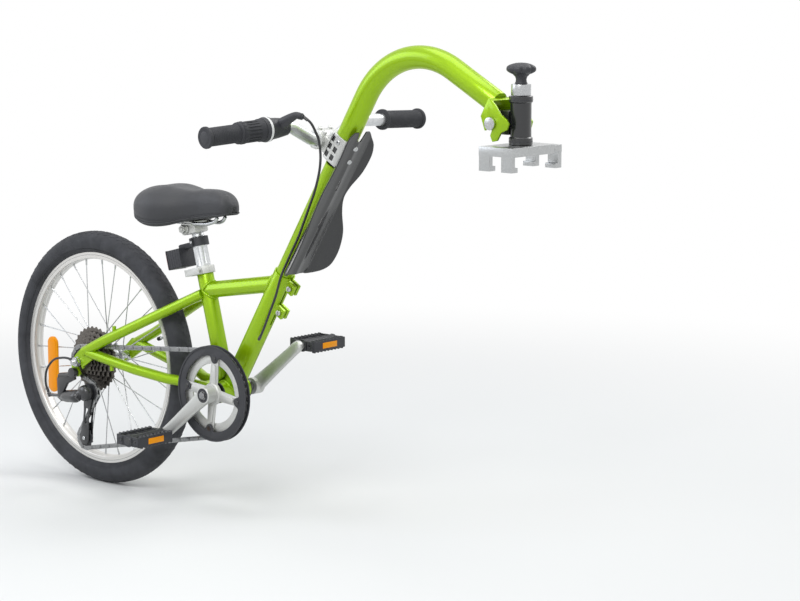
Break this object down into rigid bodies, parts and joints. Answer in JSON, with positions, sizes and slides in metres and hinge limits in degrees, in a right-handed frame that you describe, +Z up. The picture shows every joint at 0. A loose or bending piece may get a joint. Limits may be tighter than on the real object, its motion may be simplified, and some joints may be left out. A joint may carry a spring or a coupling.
{
  "type": "trailer bike",
  "caption": "Child's trailer bike: one wheel with cranks, chain and gears, a saddle and handlebar, and a bent drawbar that ends in a rack clamp with a swivel and a knob.",
  "frame": {"origin": "centre of the flat underside of the hitch base, between its rails, where it stands on the towing rack", "axes": "+X forwards along the towing direction, +Z up, +Y to the rider's left; the trailer bike hangs back from the hitch along -X and reaches the ground 0.718 m below it"},
  "size_m": [1.3322, 0.552, 0.8872],
  "materials": {
    "green_paint": "metallic gloss",
    "bright_steel": "satin",
    "silver_alloy": "satin",
    "black_enamel": "satin",
    "black_plastic": "matt",
    "pedal_plastic": "matt",
    "black_gloss_plastic": "gloss",
    "lamp_plastic": "gloss",
    "tyre_rubber": "matt",
    "black_rubber": "matt",
    "saddle_cover": "matt vinyl",
    "amber_plastic": "gloss"
  },
  "bodies": {
    "frame": {"bottom_bracket_shell": "green_paint", "bottom_bracket_unit": "black_enamel", "down_tube_sleeve": "green_paint", "pinch_bolt_upper": "bright_steel", "pinch_bolt_lower": "bright_steel", "mast_tube": "green_paint", "seat_tube": "green_paint", "top_tube": "green_paint", "chain_stay_right": "green_paint", "chain_stay_left": "green_paint", "seat_stay_right": "green_paint", "seat_stay_left": "green_paint", "wheel_axle": "bright_steel", "chain": "bright_steel", "derailleur_bracket": "black_enamel", "seat_collar": "silver_alloy", "coupler": "silver_alloy", "drawbar": "green_paint", "yoke": "green_paint", "pivot_bolt": "bright_steel", "mud_shield": "black_gloss_plastic", "stem": "silver_alloy", "handlebar": "silver_alloy", "grip_left": "black_rubber", "grip_right": "black_rubber", "shifter_housing": "black_plastic", "shift_cable": "black_gloss_plastic", "derailleur_cable": "black_gloss_plastic"},
    "wheel": {"tyre": "tyre_rubber", "inner_tube": "black_rubber", "rim": "silver_alloy", "hub_shell": "silver_alloy", "spokes_right": "bright_steel", "spokes_left": "bright_steel", "wheel_reflector": "amber_plastic"},
    "freewheel": {"cassette": "bright_steel"},
    "crank": {"crank_axle": "bright_steel", "crank_arm_right": "silver_alloy", "crank_arm_left": "silver_alloy", "chainring": "silver_alloy", "chain_guard": "black_plastic"},
    "right_pedal": {"pedal_right": "pedal_plastic"},
    "left_pedal": {"pedal_left": "pedal_plastic"},
    "twist_grip": {"shifter_grip": "black_plastic"},
    "changer_link": {"derailleur_link": "black_enamel"},
    "changer_knuckle": {"derailleur_knuckle": "black_enamel"},
    "changer_cage": {"derailleur_cage": "black_enamel"},
    "upper_pulley": {"guide_pulley": "black_plastic"},
    "lower_pulley": {"tension_pulley": "black_plastic"},
    "seat": {"seatpost": "silver_alloy", "rear_reflector": "lamp_plastic", "saddle": "saddle_cover", "saddle_shell": "black_plastic", "saddle_rails": "bright_steel"},
    "quick_lever": {"seat_lever": "silver_alloy"},
    "hitch_head": {"head_tube": "black_enamel"},
    "hitch_clamp": {"hitch_base": "silver_alloy", "hitch_post": "silver_alloy"},
    "sliding_jaw": {"clamp_jaw": "silver_alloy"},
    "hitch_knob": {"knob": "black_plastic"}
  },
  "joints": [
    {"name": "wheel_spin", "type": "hinge", "parent": "frame", "child": "wheel", "pos_m": [-1.04998, 0, -0.46782], "axis": [0, 1, 0], "continuous": true},
    {"name": "crank_spin", "type": "hinge", "parent": "frame", "child": "crank", "pos_m": [-0.68998, 0, -0.48682], "axis": [0, 1, 0], "continuous": true},
    {"name": "cassette_spin", "type": "hinge", "parent": "frame", "child": "freewheel", "pos_m": [-1.04998, 0, -0.46782], "axis": [0, 1, 0], "continuous": true},
    {"name": "pedal_right_spin", "type": "hinge", "parent": "crank", "child": "right_pedal", "pos_m": [-0.79955, -0.12, -0.57397], "axis": [0, 1, 0], "continuous": true},
    {"name": "pedal_left_spin", "type": "hinge", "parent": "crank", "child": "left_pedal", "pos_m": [-0.58042, 0.12, -0.39967], "axis": [0, 1, 0], "continuous": true},
    {"name": "shifter_twist", "type": "hinge", "parent": "frame", "child": "twist_grip", "pos_m": [-0.44803, -0.085, 0.0262], "axis": [-0.0914, -0.9946, -0.0484], "range_deg": [0, 90]},
    {"name": "derailleur_shift", "type": "hinge", "parent": "frame", "child": "changer_link", "pos_m": [-1.08911, -0.06512, -0.5407], "axis": [0, 0.7071, 0.7071], "range_deg": [0, 57.6], "deforming": ["chain"]},
    {"name": "knuckle_level", "type": "hinge", "parent": "changer_link", "child": "changer_knuckle", "pos_m": [-1.04998, -0.071, -0.53482], "axis": [0, 0.7071, 0.7071], "range_deg": [-57.6, 0]},
    {"name": "cage_tension", "type": "hinge", "parent": "changer_knuckle", "child": "changer_cage", "pos_m": [-1.02998, -0.052, -0.52782], "axis": [0, -1, 0], "range_deg": [-10, 50], "stiffness_Nm_per_rad": 0.5, "deforming": ["chain"]},
    {"name": "guide_pulley_spin", "type": "hinge", "parent": "changer_cage", "child": "upper_pulley", "pos_m": [-1.02998, -0.052, -0.52782], "axis": [0, 1, 0], "continuous": true},
    {"name": "tension_pulley_spin", "type": "hinge", "parent": "changer_cage", "child": "lower_pulley", "pos_m": [-1.04498, -0.052, -0.62082], "axis": [0, 1, 0], "continuous": true},
    {"name": "seatpost_height", "type": "slide", "parent": "frame", "child": "seat", "axis": [-0.2538, 0, 0.9673], "range_m": [-0.025, 0.095]},
    {"name": "seat_lever_open", "type": "hinge", "parent": "frame", "child": "quick_lever", "pos_m": [-0.782, -0.0153, -0.2726], "axis": [0.2538, 0, -0.9673], "range_deg": [0, 100]},
    {"name": "hitch_pitch", "type": "hinge", "parent": "frame", "child": "hitch_head", "pos_m": [-0.037, 0, 0.05], "axis": [0, 1, 0], "range_deg": [-20, 20]},
    {"name": "hitch_yaw", "type": "hinge", "parent": "hitch_head", "child": "hitch_clamp", "pos_m": [0, 0, 0.05], "axis": [0, 0, 1], "range_deg": [-90, 90]},
    {"name": "knob_turn", "type": "hinge", "parent": "hitch_clamp", "child": "hitch_knob", "pos_m": [0, 0, 0.13], "axis": [0, 0, 1], "range_deg": [0, 720]},
    {"name": "clamp_jaw_slide", "type": "slide", "parent": "hitch_clamp", "child": "sliding_jaw", "axis": [0, 1, 0], "range_m": [0, 0.008]}
  ],
  "couplings": [
    {"joint": "cassette_spin", "follows": "crank_spin", "ratio": 2.8571},
    {"joint": "guide_pulley_spin", "follows": "crank_spin", "ratio": -4},
    {"joint": "tension_pulley_spin", "follows": "crank_spin", "ratio": 4},
    {"joint": "derailleur_shift", "follows": "shifter_twist", "ratio": 0.64},
    {"joint": "knuckle_level", "follows": "shifter_twist", "ratio": -0.64}
  ]
}
